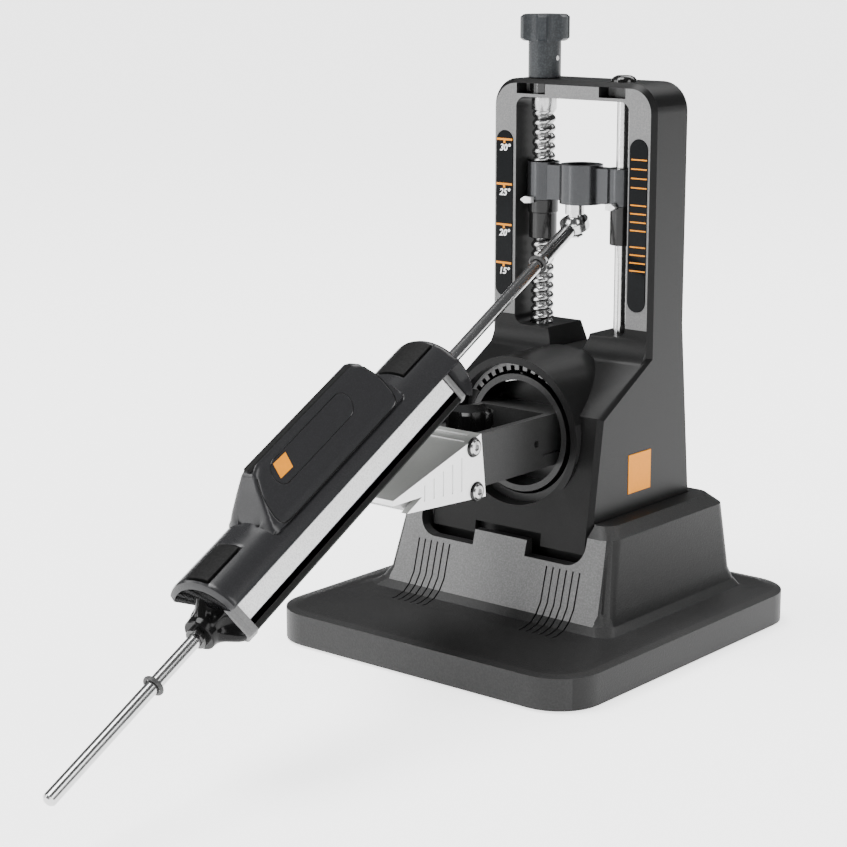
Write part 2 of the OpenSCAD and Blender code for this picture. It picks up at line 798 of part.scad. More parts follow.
module detent_ball() color("silver")
    translate([0, -8.25, clamp_z + 18.15]) sphere(1.2);

module detent_leaf() color("silver")
    translate([0, -8.25, clamp_z]) rotate([90, 0, 0]) linear_extrude(2, center = true)
        pad_outline(16.3, 16.7, 22);

// Side outline of the space between the walls; the bridge for the screw stays in it
module channel_side() {
    difference() {
        polygon([[-62, channel_floor], [-13, channel_floor], [-13, 76], [-50, 76], [-50, 64.5], [-62, 64.5]]);
        translate([bridge_y[0], bridge_z[0]])
            square([bridge_y[1] - bridge_y[0], bridge_z[1] - bridge_z[0]]);
    }
}

module clamp_body() color([0.09, 0.09, 0.1])
    difference() {
        side_profile(2 * body_hw)
            polygon([[rotor_floor, clamp_z - body_hh], [rotor_floor, clamp_z + body_hh],
                [-50, clamp_z + body_hh], [-53.6, 74.5], [-60.5, 72.5], [-60.5, 61.6], [-50, 61.6],
                [-50, clamp_z - body_hh]]);
        side_profile(2 * channel_hw) channel_side();
        along_z(0, clamp_knob_y, bridge_z[0] - 1, bridge_z[1] + 1, 3.4);
        for (s = [-1, 1]) {
            along_x(head_screw[0], head_screw[1], s * body_hw - 4, s * body_hw + 4, 0.9);
            translate([s * body_hw - 0.5, -16.5, 62]) cube([1, 20, 7]);
        }
        along_x(-20, clamp_z, -body_hw - 1, body_hw + 1, 1.2);
    }

module head_side() {
    polygon([[-51.1, 56.9], [-53.4, 76.2], [-92.9, 63.8], [-92.9, 62.3], [-80.3, 62.5], [-87, 58.9]]);
}

module jaw_head() color([0.78, 0.78, 0.76])
    difference() {
        side_profile(2 * head_hw) head_side();
        // Hollow between the cheeks
        side_profile(2 * (head_hw - cheek_t))
            polygon([[-45, 50], [-45, 75], [-53.6, 75], [-86, 64.9], [-86, 62.35], [-95, 62.3],
                [-95, 50]]);
        // Shallow panel in the top face, inside raised rims
        translate([0, -53.4, 76.2]) rotate([17.43, 0, 0]) translate([-head_hw + 2, -38.4, -0.4])
            cube([2 * head_hw - 4, 33, 2]);
        translate([0, -53.4, 76.2]) rotate([17.43, 0, 0]) translate([-head_hw + 3.5, -3.6, -0.6])
            cube([2 * head_hw - 7, 2, 1]);
        for (s = [-1, 1], i = [0:4])
            translate([s * head_hw - 0.3, -79.5 + i * 4.2, 61 - i * 0.1])
                cube([0.6, 0.6, 4.6 + i * 1.35]);
        along_x(head_screw[0], head_screw[1], -head_hw - 1, head_hw + 1, 0.95);
        along_x(jaw_pivot[0], jaw_pivot[1], -head_hw - 1, head_hw + 1, 1.55);
    }

module button_screw(y, z, s, inner, shank) {
    difference() {
        union() {
            translate([s * head_hw, y, z]) rotate([0, s * 90, 0])
                rotate_extrude() polygon([[0, 0], [2.6, 0], [2.5, 0.5], [1.9, 1.1], [0, 1.4]]);
            along_x(y, z, min(s * inner, s * head_hw), max(s * inner, s * head_hw), shank);
        }
        translate([s * (head_hw + 0.6), y, z]) rotate([0, s * 90, 0]) cylinder(r = 1.1, h = 2, $fn = 6);
    }
}

module jaw_head_screws() color("silver")
    for (s = [-1, 1]) button_screw(head_screw[0], head_screw[1], s, body_hw - 3.8, 0.9);

module jaw_pivot_screws() color("silver")
    for (s = [-1, 1]) button_screw(jaw_pivot[0], jaw_pivot[1], s, 14.5, 1.5);

module moving_jaw() color([0.6, 0.6, 0.58])
    difference() {
        union() {
            translate([-16.4, -87, 58.6]) cube([32.8, 25.6, 3.3]);
            for (s = [-1, 1])
                translate([s > 0 ? 14.5 : -16.4, -63, 57.4]) cube([1.9, 10.4, 4.4]);
            translate([-6, -64, 60.9]) cube([12, 34, 1.6]);
        }
        along_x(jaw_pivot[0], jaw_pivot[1], -20, 20, 1.55);
        side_profile(60) polygon([[-90, 57], [-90, 62.6], [-87.2, 61.2], [-84, 58.6], [-84, 57]]);
    }

module clamp_bush() color([0.2, 0.2, 0.22])
    difference() {
        along_z(0, clamp_knob_y, bridge_z[0], bridge_z[1], 3.4);
        along_z(0, clamp_knob_y, 60, 76, 2.05);
    }

module thrust_pad() color([0.2, 0.2, 0.22])
    difference() {
        along_z(0, clamp_knob_y, 62.6, 64.6, 2.9);
        along_z(0, clamp_knob_y, 63.4, 65, 1.45);
    }

module clamp_screw() color("silver") {
    along_z(0, clamp_knob_y, 64.9, clamp_knob_z + 5.4, 2);
    along_z(0, clamp_knob_y, 63.5, 65, 1.4);
}

module clamp_knob() color([0.07, 0.07, 0.07])
    difference() {
        translate([0, clamp_knob_y, clamp_knob_z]) lobed_knob(7.4, 5.9, 6, 3.2);
        along_z(0, clamp_knob_y, 70, clamp_knob_z + 5.4, 2);
    }

base();
base_plate();
base_pad();
base_plate_screws();
tower();
tower_screws();
left_scale_plate();
right_scale_plate();
side_badge();
top_bush();
bottom_bush();
guide_post();
guide_post_screw();
index_ring();
lead_screw();
adjust_knob();
knob_pin();
lead_screw_clip();
carriage();
drive_nut();
nut_sleeve();
guide_sleeve();
left_pointer();
right_pointer();
pivot_post();
pivot_clip();
swivel_ball();
rod_eye();
guide_rod();
upper_stop_ring();
lower_stop_ring();
guide_tube();
handle();
upper_grip_pad();
lower_grip_pad();
index_spring();
abrasive_bar();
plate_coarse();
plate_fine();
plate_ceramic();
finned_cap();
upper_end_plate();
lower_end_plate();
rotor();
rotor_retainer();
rotor_screws();
detent_ball();
detent_leaf();
clamp_body();
jaw_head();
jaw_head_screws();
moving_jaw();
jaw_pivot_screws();
clamp_bush();
thrust_pad();
clamp_screw();
clamp_knob();
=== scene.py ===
"""Guided-rod honing guide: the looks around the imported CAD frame.

Metres, +Z up, -Y towards the front; names in capitals are in millimetres or degrees. Every CAD node
is shown through a fine copy with rounded edges, and the pieces whose detail the CAD leaves out
(thread, scale marks, grip, end cap) are built here.
"""

import json
import math

import bmesh
import bpy
from mathutils import Matrix, Vector


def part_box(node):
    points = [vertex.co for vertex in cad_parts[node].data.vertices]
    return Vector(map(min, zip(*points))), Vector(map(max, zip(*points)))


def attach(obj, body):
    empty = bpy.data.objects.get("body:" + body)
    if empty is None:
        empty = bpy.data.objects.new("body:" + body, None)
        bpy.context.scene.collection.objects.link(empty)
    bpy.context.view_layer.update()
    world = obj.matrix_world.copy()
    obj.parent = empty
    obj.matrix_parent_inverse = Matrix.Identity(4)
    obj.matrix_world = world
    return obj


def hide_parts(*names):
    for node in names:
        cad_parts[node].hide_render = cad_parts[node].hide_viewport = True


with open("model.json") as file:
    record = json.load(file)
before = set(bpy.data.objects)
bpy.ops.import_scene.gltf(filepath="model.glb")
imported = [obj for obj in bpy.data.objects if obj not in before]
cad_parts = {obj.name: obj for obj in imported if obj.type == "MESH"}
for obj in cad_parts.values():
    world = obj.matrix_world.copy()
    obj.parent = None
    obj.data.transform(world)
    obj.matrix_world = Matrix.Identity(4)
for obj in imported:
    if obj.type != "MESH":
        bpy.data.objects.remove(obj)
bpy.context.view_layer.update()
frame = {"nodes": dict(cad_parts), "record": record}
record = frame["record"]

MM = 0.001
slot_of = {s["node"]: s["material_slot"] for s in record["subparts"]}
body_of = {n: b for b, ns in record["behaviour"]["bodies"].items() for n in ns}
joints = {j["name"]: j for j in record["behaviour"]["joints"]}

# The rod's own frame: z along the rod from the eye, y up. The bar and the handle are turned in it.
EYE = Vector(joints["grip_roll"]["pos_m"])
ROD = Vector(joints["grip_roll"]["axis"]).normalized()
HANDLE_ROLL = 3
BAR_ROLL = -57


def rod_matrix(roll):
    """Rod frame turned about the rod, taking millimetres to metres in the world."""
    up = Vector((0, 0, 1))
    y = (up - ROD * up.dot(ROD)).normalized()
    x = y.cross(ROD)
    c, s = math.cos(math.radians(roll)), math.sin(math.radians(roll))
    turned = Matrix((x * c + y * s, y * c - x * s, ROD)).transposed() * MM
    return Matrix.Translation(EYE) @ turned.to_4x4()


# ---------------------------------------------------------------- materials
def principled(name, color, rough, metal=0.0, spec=0.2):
    """A plain shader, as the start of every finish below."""
    mat = bpy.data.materials.new(name)
    mat.use_nodes = True
    bsdf = mat.node_tree.nodes["Principled BSDF"]
    bsdf.inputs["Base Color"].default_value = (*color, 1)
    bsdf.inputs["Roughness"].default_value = rough
    bsdf.inputs["Metallic"].default_value = metal
    bsdf.inputs["Specular IOR Level"].default_value = spec
    mat.diffuse_color = (*color, 1)
    return mat


def object_coords(mat, output="Object"):
    return mat.node_tree.nodes.new("ShaderNodeTexCoord").outputs[output]


def add_noise(mat, scale, detail=2.0, stretch=(1, 1, 1)):
    """A noise texture in object coordinates, in cells per metre; returns its factor socket."""
    nt = mat.node_tree
    mapping = nt.nodes.new("ShaderNodeMapping")
    mapping.inputs["Scale"].default_value = stretch
    noise = nt.nodes.new("ShaderNodeTexNoise")
    noise.inputs["Scale"].default_value = scale
    noise.inputs["Detail"].default_value = detail
    nt.links.new(object_coords(mat), mapping.inputs["Vector"])
    nt.links.new(mapping.outputs["Vector"], noise.inputs["Vector"])
    return noise.outputs["Fac"]


def add_bump(mat, height, strength, distance):
    """Bump from a factor socket; the distance is in metres."""
    nt = mat.node_tree
    bump = nt.nodes.new("ShaderNodeBump")
    bump.inputs["Strength"].default_value = strength
    bump.inputs["Distance"].default_value = distance
    nt.links.new(height, bump.inputs["Height"])
    nt.links.new(bump.outputs["Normal"], nt.nodes["Principled BSDF"].inputs["Normal"])


def add_ramp(mat, fac, stops, socket=None):
    """A colour ramp on a factor; stops are (position, colour). Drives a shader socket if one is named."""
    nt = mat.node_tree
    ramp = nt.nodes.new("ShaderNodeValToRGB")
    while len(ramp.color_ramp.elements) < len(stops):
        ramp.color_ramp.elements.new(0.5)
    for element, (pos, color) in zip(ramp.color_ramp.elements, stops):
        element.position = pos
        element.color = (*color, 1)
    nt.links.new(fac, ramp.inputs["Fac"])
    if socket:
        nt.links.new(ramp.outputs["Color"], nt.nodes["Principled BSDF"].inputs[socket])
    return ramp.outputs["Color"]


def math_node(mat, operation, a, b):
    """A maths node on two inputs, each a number or a socket."""
    nt = mat.node_tree
    node = nt.nodes.new("ShaderNodeMath")
    node.operation = operation
    for socket, value in zip(node.inputs, (a, b)):
        if isinstance(value, (int, float)):
            socket.default_value = value
        else:
            nt.links.new(value, socket)
    return node.outputs[0]


def component(mat, vector, axis):
    """The X, Y or Z socket of a vector."""
    node = mat.node_tree.nodes.new("ShaderNodeSeparateXYZ")
    mat.node_tree.links.new(vector, node.inputs[0])
    return node.outputs["XYZ".index(axis)]


def facing(mat, axis, limit):
    """1 on the surfaces whose normal's component along an axis is beyond the limit, else 0."""
    normal = component(mat, object_coords(mat, "Normal"), axis)
    return math_node(mat, "GREATER_THAN" if limit > 0 else "LESS_THAN", normal, limit)


def mix_color(mat, fac, a, b):
    """Mixes two colours, each a tuple or a socket, into the base colour."""
    color_a, color_b, color_out = 6, 7, 2
    nt = mat.node_tree
    mix = nt.nodes.new("ShaderNodeMix")
    mix.data_type = "RGBA"
    for index, value in ((color_a, a), (color_b, b)):
        if isinstance(value, tuple):
            mix.inputs[index].default_value = (*value, 1)
        else:
            nt.links.new(value, mix.inputs[index])
    nt.links.new(fac, mix.inputs[0])
    nt.links.new(mix.outputs[color_out], nt.nodes["Principled BSDF"].inputs["Base Color"])
    return mix.outputs[color_out]


def grey(v):
    return (v, v, v)


def grained(name, color, rough, grain, depth, flecks=1.0, metal=0.0, spec=0.2):
    """Moulded plastic with a fine spark-eroded grain, flecked a little lighter on its peaks."""
    mat = principled(name, color, rough, metal, spec=spec)
    fac = add_noise(mat, grain, 3.0)
    peak = tuple(c * (1 + flecks) for c in color)
    add_ramp(mat, fac, [(0.42, color), (0.68, peak)], "Base Color")
    add_bump(mat, fac, 0.5, depth)
    return mat


def zoned(name, color, zones, rough, grain, depth, metal=0.0, flecks=0.35, spec=0.2):
    """Grained finish with zones of faces, picked by facing and place, painted in other tones, which here are
    mostly painted light and shade; each zone is (normal axis, limit, place axis, limit, colour), later ones
    on top.
    """
    mat = principled(name, color, rough, metal, spec=spec)
    fac = add_noise(mat, grain, 3.0)

    def tone(c):
        return add_ramp(mat, fac, [(0.4, c), (0.7, tuple(v * (1 + flecks) for v in c))])

    base = tone(color)
    for axis, limit, place_axis, place, zone_color in zones:
        mask = facing(mat, axis, limit)
        if place_axis:
            value = component(mat, object_coords(mat), place_axis)
            past = math_node(mat, "GREATER_THAN" if place > 0 else "LESS_THAN", value, place)
            mask = math_node(mat, "MULTIPLY", mask, past)
        base = mix_color(mat, mask, base, tone(zone_color))
    add_bump(mat, fac, 0.4, depth)
    return mat


def brushed(name, color, rough, stretch, metal=1.0, contrast=0.82, depth=0.00003):
    """Machined metal with fine lines across the stretch direction."""
    mat = principled(name, color, rough, metal)
    fac = add_noise(mat, 900, 2.0, stretch)
    add_ramp(mat, fac, [(0.35, tuple(c * contrast for c in color)), (0.65, color)], "Base Color")
    add_bump(mat, fac, 0.15, depth)
    return mat


def speckled(name, dark, light, scale, rough):
    """Diamond or ceramic grit."""
    mat = principled(name, light, rough, 0.15)
    fac = add_noise(mat, scale, 1.0)
    add_ramp(mat, fac, [(0.36, dark), (0.55, light)], "Base Color")
    add_bump(mat, fac, 0.6, 0.00012)
    return mat


# Finishes by record slot. Colours are linear; grain is in cells per metre and depth in metres.
MATS = {
    # Painted light and shade on the foot, over one black plastic: its top is painted darker, its +X side
    # darker still, and its front faces above 13.5 mm much lighter, as the light falls.
    "foot_plastic": zoned("foot_plastic", grey(0.015),
                          [("Z", 0.985, "", 0, grey(0.010)), ("X", 0.8, "", 0, grey(0.007)),
                           ("Y", -0.8, "Z", 0.0135, grey(0.10))],
                          0.46, 1900, 0.0002, flecks=0.4),
    "foot_rubber": grained("foot_rubber", grey(0.02), 0.85, 900, 0.0001),
    "cover_metal": grained("cover_metal", grey(0.08), 0.5, 1200, 0.00003),
    "fastener_steel": brushed("fastener_steel", grey(0.40), 0.24, (1, 1, 0.2)),
    "black_fastener": grained("black_fastener", grey(0.010), 0.15, 2600, 0.000005, 0.3, 0.3, spec=0.5),
    # Painted light on the tower, over one black plastic: its sides and back are painted lighter, and the
    # upper front face above 98 mm much lighter, as a painted reflection of the bright front.
    "tower_plastic": zoned("tower_plastic", grey(0.006),
                           [("X", 0.97, "", 0, grey(0.012)), ("X", -0.97, "", 0, grey(0.012)),
                            ("Y", 0.97, "", 0, grey(0.025)), ("Y", -0.97, "Z", 0.098, grey(0.13))],
                           0.34, 2600, 0.00004, spec=0.11),
    "scale_gloss": grained("scale_gloss", (0.0025, 0.003, 0.0035), 0.1, 1800, 0.000003, 0.3, spec=0.06),
    "accent_orange": grained("accent_orange", (0.66, 0.225, 0.0), 0.5, 900, 0.00001, 0.05),
    "bush_dark": grained("bush_dark", grey(0.006), 0.12, 2400, 0.000005, 0.3, spec=0.5),
    "polished_steel": brushed("polished_steel", grey(0.52), 0.2, (0.3, 0.3, 1), contrast=0.93,
                              depth=0.000004),
    # Painted light on the index ribs: the front faces above 77.5 mm are painted lighter, as lit on the top
    # arc, and the rest stay dark as shade.
    "index_steel": zoned("index_steel", grey(0.010), [("Y", -0.9, "Z", 0.0775, grey(0.17))], 0.35, 2200,
                         0.00001),
    "knob_gunmetal": grained("knob_gunmetal", (0.018, 0.020, 0.022), 0.38, 1800, 0.00006, 0.7),
    "carriage_gunmetal": grained("carriage_gunmetal", (0.035, 0.036, 0.038), 0.24, 2600, 0.00001, 0.3,
                                 metal=0.75, spec=0.5),
    "sleeve_black": grained("sleeve_black", grey(0.006), 0.2, 2400, 0.000005, 0.3, spec=0.3),
    "pointer_metal": brushed("pointer_metal", grey(0.6), 0.35, (1, 1, 1), 0.7),
    "ring_rubber": grained("ring_rubber", grey(0.03), 0.4, 1500, 0.00003),
    "handle_plastic": grained("handle_plastic", (0.016, 0.016, 0.017), 0.25, 2600, 0.00003, 0.25,
                               spec=0.28),
    "grip_rubber": grained("grip_rubber", grey(0.005), 0.6, 1500, 0.00008, spec=0.1),
    "bar_plastic": grained("bar_plastic", grey(0.006), 0.35, 2000, 0.00003),
    "abrasive_coarse": speckled("abrasive_coarse", grey(0.80), grey(1.0), 2600, 0.6),
    "abrasive_fine": speckled("abrasive_fine", grey(0.5), grey(0.8), 1700, 0.45),
    "abrasive_ceramic": speckled("abrasive_ceramic", (0.76, 0.75, 0.71), (0.84, 0.83, 0.8), 2200, 0.6),
    "cap_gloss": grained("cap_gloss", grey(0.004), 0.16, 2200, 0.000005, 0.3, spec=0.14),
    "end_plate_grey": grained("end_plate_grey", grey(0.16), 0.45, 1600, 0.00003, 0.2),
    "rotor_black": zoned("rotor_black", grey(0.006), [("Y", -0.9, "Y", -0.008, grey(0.022))], 0.3, 2200,
                         0.00002),
    # Painted light on the clamp body: the faces turned up are painted lighter, as lit from above.
    "clamp_black": zoned("clamp_black", grey(0.016), [("Z", 0.9, "", 0, grey(0.04))], 0.4, 2200, 0.00003),
    "jaw_silver": zoned("jaw_silver", grey(0.80), [("Z", 0.6, "", 0, (0.30, 0.305, 0.295))], 0.36, 1500,
                        0.00001, 0.3, 0.05),
    "jaw_grey": brushed("jaw_grey", grey(0.5), 0.4, (0.2, 1, 1), 0.8),
    "mark_white": grained("mark_white", grey(0.82), 0.5, 2000, 0.000005, 0.06),
    "thread_steel": brushed("thread_steel", grey(0.42), 0.26, (1, 1, 0.3)),
}


# ---------------------------------------------------------------- mesh helpers
SHARP = 32


def show(obj, body, slot, replaces=()):
    """Puts a finished piece on its body, with its finish and the CAD nodes it stands for."""
    obj.data.materials.clear()
    obj.data.materials.append(MATS[slot])
    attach(obj, body)
    if replaces:
        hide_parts(*replaces)
    return obj


def smooth_by_angle(bm, angle):
    """Smooth shading that stays sharp at edges over an angle."""
    for face in bm.faces:
        face.smooth = True
    for edge in bm.edges:
        if len(edge.link_faces) == 2:
            edge.smooth = edge.calc_face_angle(0) < angle


def link_bmesh(bm, name):
    mesh = bpy.data.meshes.new(name)
    bm.to_mesh(mesh)
    bm.free()
    obj = bpy.data.objects.new(name, mesh)
    bpy.context.scene.collection.objects.link(obj)
    return obj


def add_bevel(obj, width):
    mod = obj.modifiers.new("edges", "BEVEL")
    mod.width = width
    mod.segments = 2
    mod.limit_method = "ANGLE"
    mod.angle_limit = math.radians(SHARP)
    mod.use_clamp_overlap = True
    mod.harden_normals = True


def fine(node, width_mm):
    """A copy of a CAD node's mesh, cleaned up and with rounded edges, that stands for the node."""
    bm = bmesh.new()
    bm.from_mesh(frame["nodes"][node].data)
    bmesh.ops.remove_doubles(bm, verts=bm.verts, dist=2e-6)
    bmesh.ops.join_triangles(bm, faces=bm.faces, angle_face_threshold=math.radians(0.5),
                             angle_shape_threshold=math.radians(60))
    smooth_by_angle(bm, math.radians(SHARP))
    obj = link_bmesh(bm, "fine_" + node)
    if width_mm:
        add_bevel(obj, width_mm * MM)
    show(obj, body_of[node], slot_of[node], [node])


def loft(name, rows, closed=False, angle=SHARP):
    """Quads between rings of points, in metres; closed joins the last ring to the first."""
    bm = bmesh.new()
    verts = [[bm.verts.new(p) for p in row] for row in rows]
    n_rows, n_cols = len(rows), len(rows[0])
    for i in range(n_rows if closed else n_rows - 1):
        for j in range(n_cols):
            a, b = verts[i], verts[(i + 1) % n_rows]
            bm.faces.new((a[j], a[(j + 1) % n_cols], b[(j + 1) % n_cols], b[j]))
    if not closed:
        bm.faces.new(reversed(verts[0]))
        bm.faces.new(verts[-1])
    bmesh.ops.recalc_face_normals(bm, faces=bm.faces)
    smooth_by_angle(bm, math.radians(angle))
    return link_bmesh(bm, name)


def boxes(name, corners):
    """Joined boxes, each given by its lowest and highest corner in millimetres."""
    bm = bmesh.new()
    for low, high in corners:
        mid = [(a + b) / 2 * MM for a, b in zip(low, high)]
        size = [(b - a) * MM for a, b in zip(low, high)]
        place = Matrix.Translation(mid) @ Matrix.Diagonal((*size, 1))
        bmesh.ops.create_cube(bm, size=1, matrix=place)
    return link_bmesh(bm, name)


def join(target, *others):
    """Adds other meshes to the target's and removes them."""
    bm = bmesh.new()
    for obj in (target, *others):
        bm.from_mesh(obj.data)
    bm.to_mesh(target.data)
    bm.free()
    for obj in others:
        bpy.data.objects.remove(obj)
    return target


def turns(count):
    """Evenly spaced angles of one turn."""
    return [2 * math.pi * i / count for i in range(count)]


def smooth_min(a, b, k):
    """The lower of two values, with the corner between them rounded over k."""
    h = max(k - abs(a - b), 0) / k
    return min(a, b) - h * h * k / 4


def smooth_step(x):
    """Eases from 0 to 1 as x does."""
    x = min(1, max(0, x))
    return x * x * (3 - 2 * x)


# ---------------------------------------------------------------- fine copies of the CAD nodes
# Widths of the rounded edges; a node that isn't named has SMALL_EDGE.
SMALL_EDGE = 0.12
EDGES = {
    "base": 0.6, "tower": 0.45, "adjust_knob": 0.5, "carriage": 0.45, "clamp_knob": 0.5,
    "clamp_body": 0.4, "jaw_head": 0.25, "moving_jaw": 0.25, "rotor": 0.35, "handle": 0.6,
    "finned_cap": 0.3, "side_badge": 0.1, "base_pad": 0.2, "upper_end_plate": 0.3,
    "lower_end_plate": 0.3, "abrasive_bar": 0.2, "guide_rod": 0.2, "nut_sleeve": 0.3,
    "guide_sleeve": 0.3, "swivel_ball": 0, "rod_eye": 0.3,
}
BUILT_BELOW = ("lead_screw", "handle", "finned_cap")
for node in sorted(set(slot_of) - set(BUILT_BELOW)):
    fine(node, EDGES.get(node, SMALL_EDGE))


# ---------------------------------------------------------------- lead screw with a real thread
def node_center(node):
    low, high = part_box(node)
    return (Vector(low) + Vector(high)) / 2


def lead_screw():
    """Rounded right-hand thread between the bottom bush and the plain collar."""
    pitch, crest, root, foot_r, shank_r, collar_r = 3.0, 3.75, 2.7, 2.5, 3, 4
    low, high = (v[2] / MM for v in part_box("lead_screw"))
    thread = (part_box("bottom_bush")[1][2] / MM + 0.4, 163.3)
    collar = (163.5, 167.6)
    center = node_center("lead_screw")
    angles = turns(40)
    steps_per_turn = 16

    def thread_r(z, a):
        phase = (z / pitch - a / (2 * math.pi)) % 1
        swell = (0.5 - 0.5 * math.cos(2 * math.pi * phase)) ** 0.45
        return root + (crest - root) * swell

    def ring(z, radius):
        return [center.xy.to_3d() + Vector((r * math.cos(a), r * math.sin(a), z)) * MM
                for a in angles for r in [radius(z, a)]]

    rows = [ring(low, lambda z, a: foot_r), ring(thread[0], lambda z, a: foot_r)]
    steps = int((thread[1] - thread[0]) / pitch * steps_per_turn)
    for i in range(steps + 1):
        rows.append(ring(thread[0] + 0.01 + (thread[1] - thread[0]) * i / steps, thread_r))
    for z, r in ((collar[0], collar_r - 0.3), (collar[0] + 0.3, collar_r), (collar[1], collar_r),
                 (collar[1] + 0.01, shank_r), (high, shank_r)):
        rows.append(ring(z, lambda z, a, r=r: r))
    obj = show(loft("fine_lead_screw", rows, angle=70), "adjuster", "polished_steel", ["lead_screw"])
    obj.data.materials[0] = MATS["thread_steel"]


lead_screw()


# ---------------------------------------------------------------- scale marks
# Heights of the long ticks with their angles, and (first height, step) for each group of short ones.
LONG_TICKS = (154.2, 139.9, 126.8, 114.4)
LONG_ANGLES = (30, 25, 20, 15)
SHORT_TICKS = ((150.8, 2.87), (136.8, 2.6), (123.9, 2.47))
TICKS_IN_GROUP = 4
PROUD, SUNK = 0.06, 0.1
NUMERAL_HEIGHT, NUMERAL_DROP = 2.1, 3.6


def scale_marks():
    """Orange ticks on both plates: long ones with a short stem on the left, fine ones on the right."""
    for side, node in (("left", "left_scale_plate"), ("right", "right_scale_plate")):
        low, high = (Vector(v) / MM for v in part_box(node))
        face = low.y
        bars = []
        if side == "left":
            for z in LONG_TICKS:
                mid = (low.x + high.x) / 2
                bars.append(((low.x + 0.15, face - PROUD, z - 0.33), (high.x - 0.15, face + SUNK, z + 0.33)))
                bars.append(((mid - 0.4, face - PROUD, z - 1.2), (mid + 0.4, face + SUNK, z - 0.3)))
        else:
            for start, step in SHORT_TICKS:
                for i in range(TICKS_IN_GROUP):
                    z = start - i * step
                    bars.append(((low.x + 0.7, face - PROUD, z - 0.2), (high.x - 0.05, face + SUNK, z + 0.2)))
        show(boxes("marks_" + side, bars), "stand", "accent_orange")


def numeral(name, words, x, y, z, height):
    """Bold slanted figures on a plane that faces the front."""
    curve = bpy.data.curves.new(name, "FONT")
    curve.body = words
    curve.size = height / 0.7
    curve.shear = 0.2
    curve.offset = 0.035 * height
    curve.extrude = 0.03 * MM
    curve.align_x = "CENTER"
    curve.resolution_u = 3
    text = bpy.data.objects.new(name + "_curve", curve)
    bpy.context.scene.collection.objects.link(text)
    bpy.context.view_layer.update()
    mesh = bpy.data.meshes.new_from_object(text.evaluated_get(bpy.context.evaluated_depsgraph_get()))
    bpy.data.objects.remove(text)
    mesh.transform(Matrix.Translation((x, y, z)) @ Matrix.Rotation(math.pi / 2, 4, "X"))
    obj = bpy.data.objects.new(name, mesh)
    bpy.context.scene.collection.objects.link(obj)
    obj.data.materials.clear()
    obj.data.materials.append(MATS["mark_white"])
    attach(obj, "stand")


scale_marks()
plate_low, plate_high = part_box("left_scale_plate")
for z, words in zip(LONG_TICKS, LONG_ANGLES):
    numeral(f"numeral_{words}", f"{words}\u00b0", (plate_low[0] + plate_high[0]) / 2 + 0.2 * MM,
            plate_low[1] - 0.04 * MM, (z - NUMERAL_DROP) * MM, NUMERAL_HEIGHT * MM)


# ---------------------------------------------------------------- handle shell with its raised grip
# Shell: outer and inner radius, half of its angle, its span along the rod, and its end disc's end.
SHELL_R, SHELL_IN, SHELL_HALF = 13.4, 11.3, 59
SHELL_Z = (85.1, 200.0)
DISC_END = 87.4
TOP_ROUND, BOTTOM_ROUND, SIDE_ROUND = 3.5, 1.6, 0.7
# Grip: its span along the rod, its height, and its flat side (normal x and y, distance from the rod).
GRIP_Z = (109.5, 175.5)
GRIP_TOP = 26.2
GRIP_SIDE = (0.926, 0.379, 11.69)
LIP, LIP_REACH = 0.5, 1.5
GROOVE, GROOVE_REACH = 0.35, 0.4
# Recesses for the rubber pads: start, end, half angle.
PADS = ((88.5, 104, 19), (184, 198, 15))
PAD_DEPTH, PAD_GAP, PAD_WALL = 0.9, 0.7, 0.6


def end_round(depth, radius):
    """How far a rounded edge stands back from the surface, at a distance from the end."""
    gap = max(0, radius - depth)
    return radius - math.sqrt(max(0, radius * radius - gap * gap))


def grip_height(s):
    """Height of the grip's ridge above the rod along its length."""
    stops = ((-0.5, 9), (1, 13), (4.5, 20.5), (7, 25), (9.5, GRIP_TOP))
    for ends in ((s - GRIP_Z[0], stops), (GRIP_Z[1] - s, stops)):
        e = ends[0]
        if e < stops[-1][0]:
            for (e0, h0), (e1, h1) in zip(stops, stops[1:]):
                if e < e1:
                    return h0 + (h1 - h0) * max(0, e - e0) / (e1 - e0)
    return GRIP_TOP


def shell_radius(phi, s):
    """Outer radius of the handle at an angle from its top and a distance along the rod."""
    r = SHELL_R - end_round(s - SHELL_Z[0], TOP_ROUND) - end_round(SHELL_Z[1] - s, BOTTOM_ROUND)
    r -= end_round((math.radians(SHELL_HALF) - abs(phi)) * SHELL_R, SIDE_ROUND)
    for z0, z1, half in PADS:
        inside = min(s - z0, z1 - s, (math.radians(half) - abs(phi)) * SHELL_R) + PAD_GAP
        r -= PAD_DEPTH * smooth_step(inside / PAD_WALL)
    if GRIP_Z[0] - 1 < s < GRIP_Z[1] + 1:
        nx, ny, d = GRIP_SIDE
        end = min(s - GRIP_Z[0], GRIP_Z[1] - s)
        d -= end_round(end + 0.5, 3.2)
        side = d / (nx * abs(math.sin(phi)) + ny * math.cos(phi))
        grip = smooth_min(side, grip_height(s) / math.cos(phi), 2.2)
        above = grip - r
        if above > 0:
            return grip + LIP * smooth_step(1 - above / LIP_REACH)
        r -= GROOVE * smooth_step(1 + above / GROOVE_REACH)
    return r


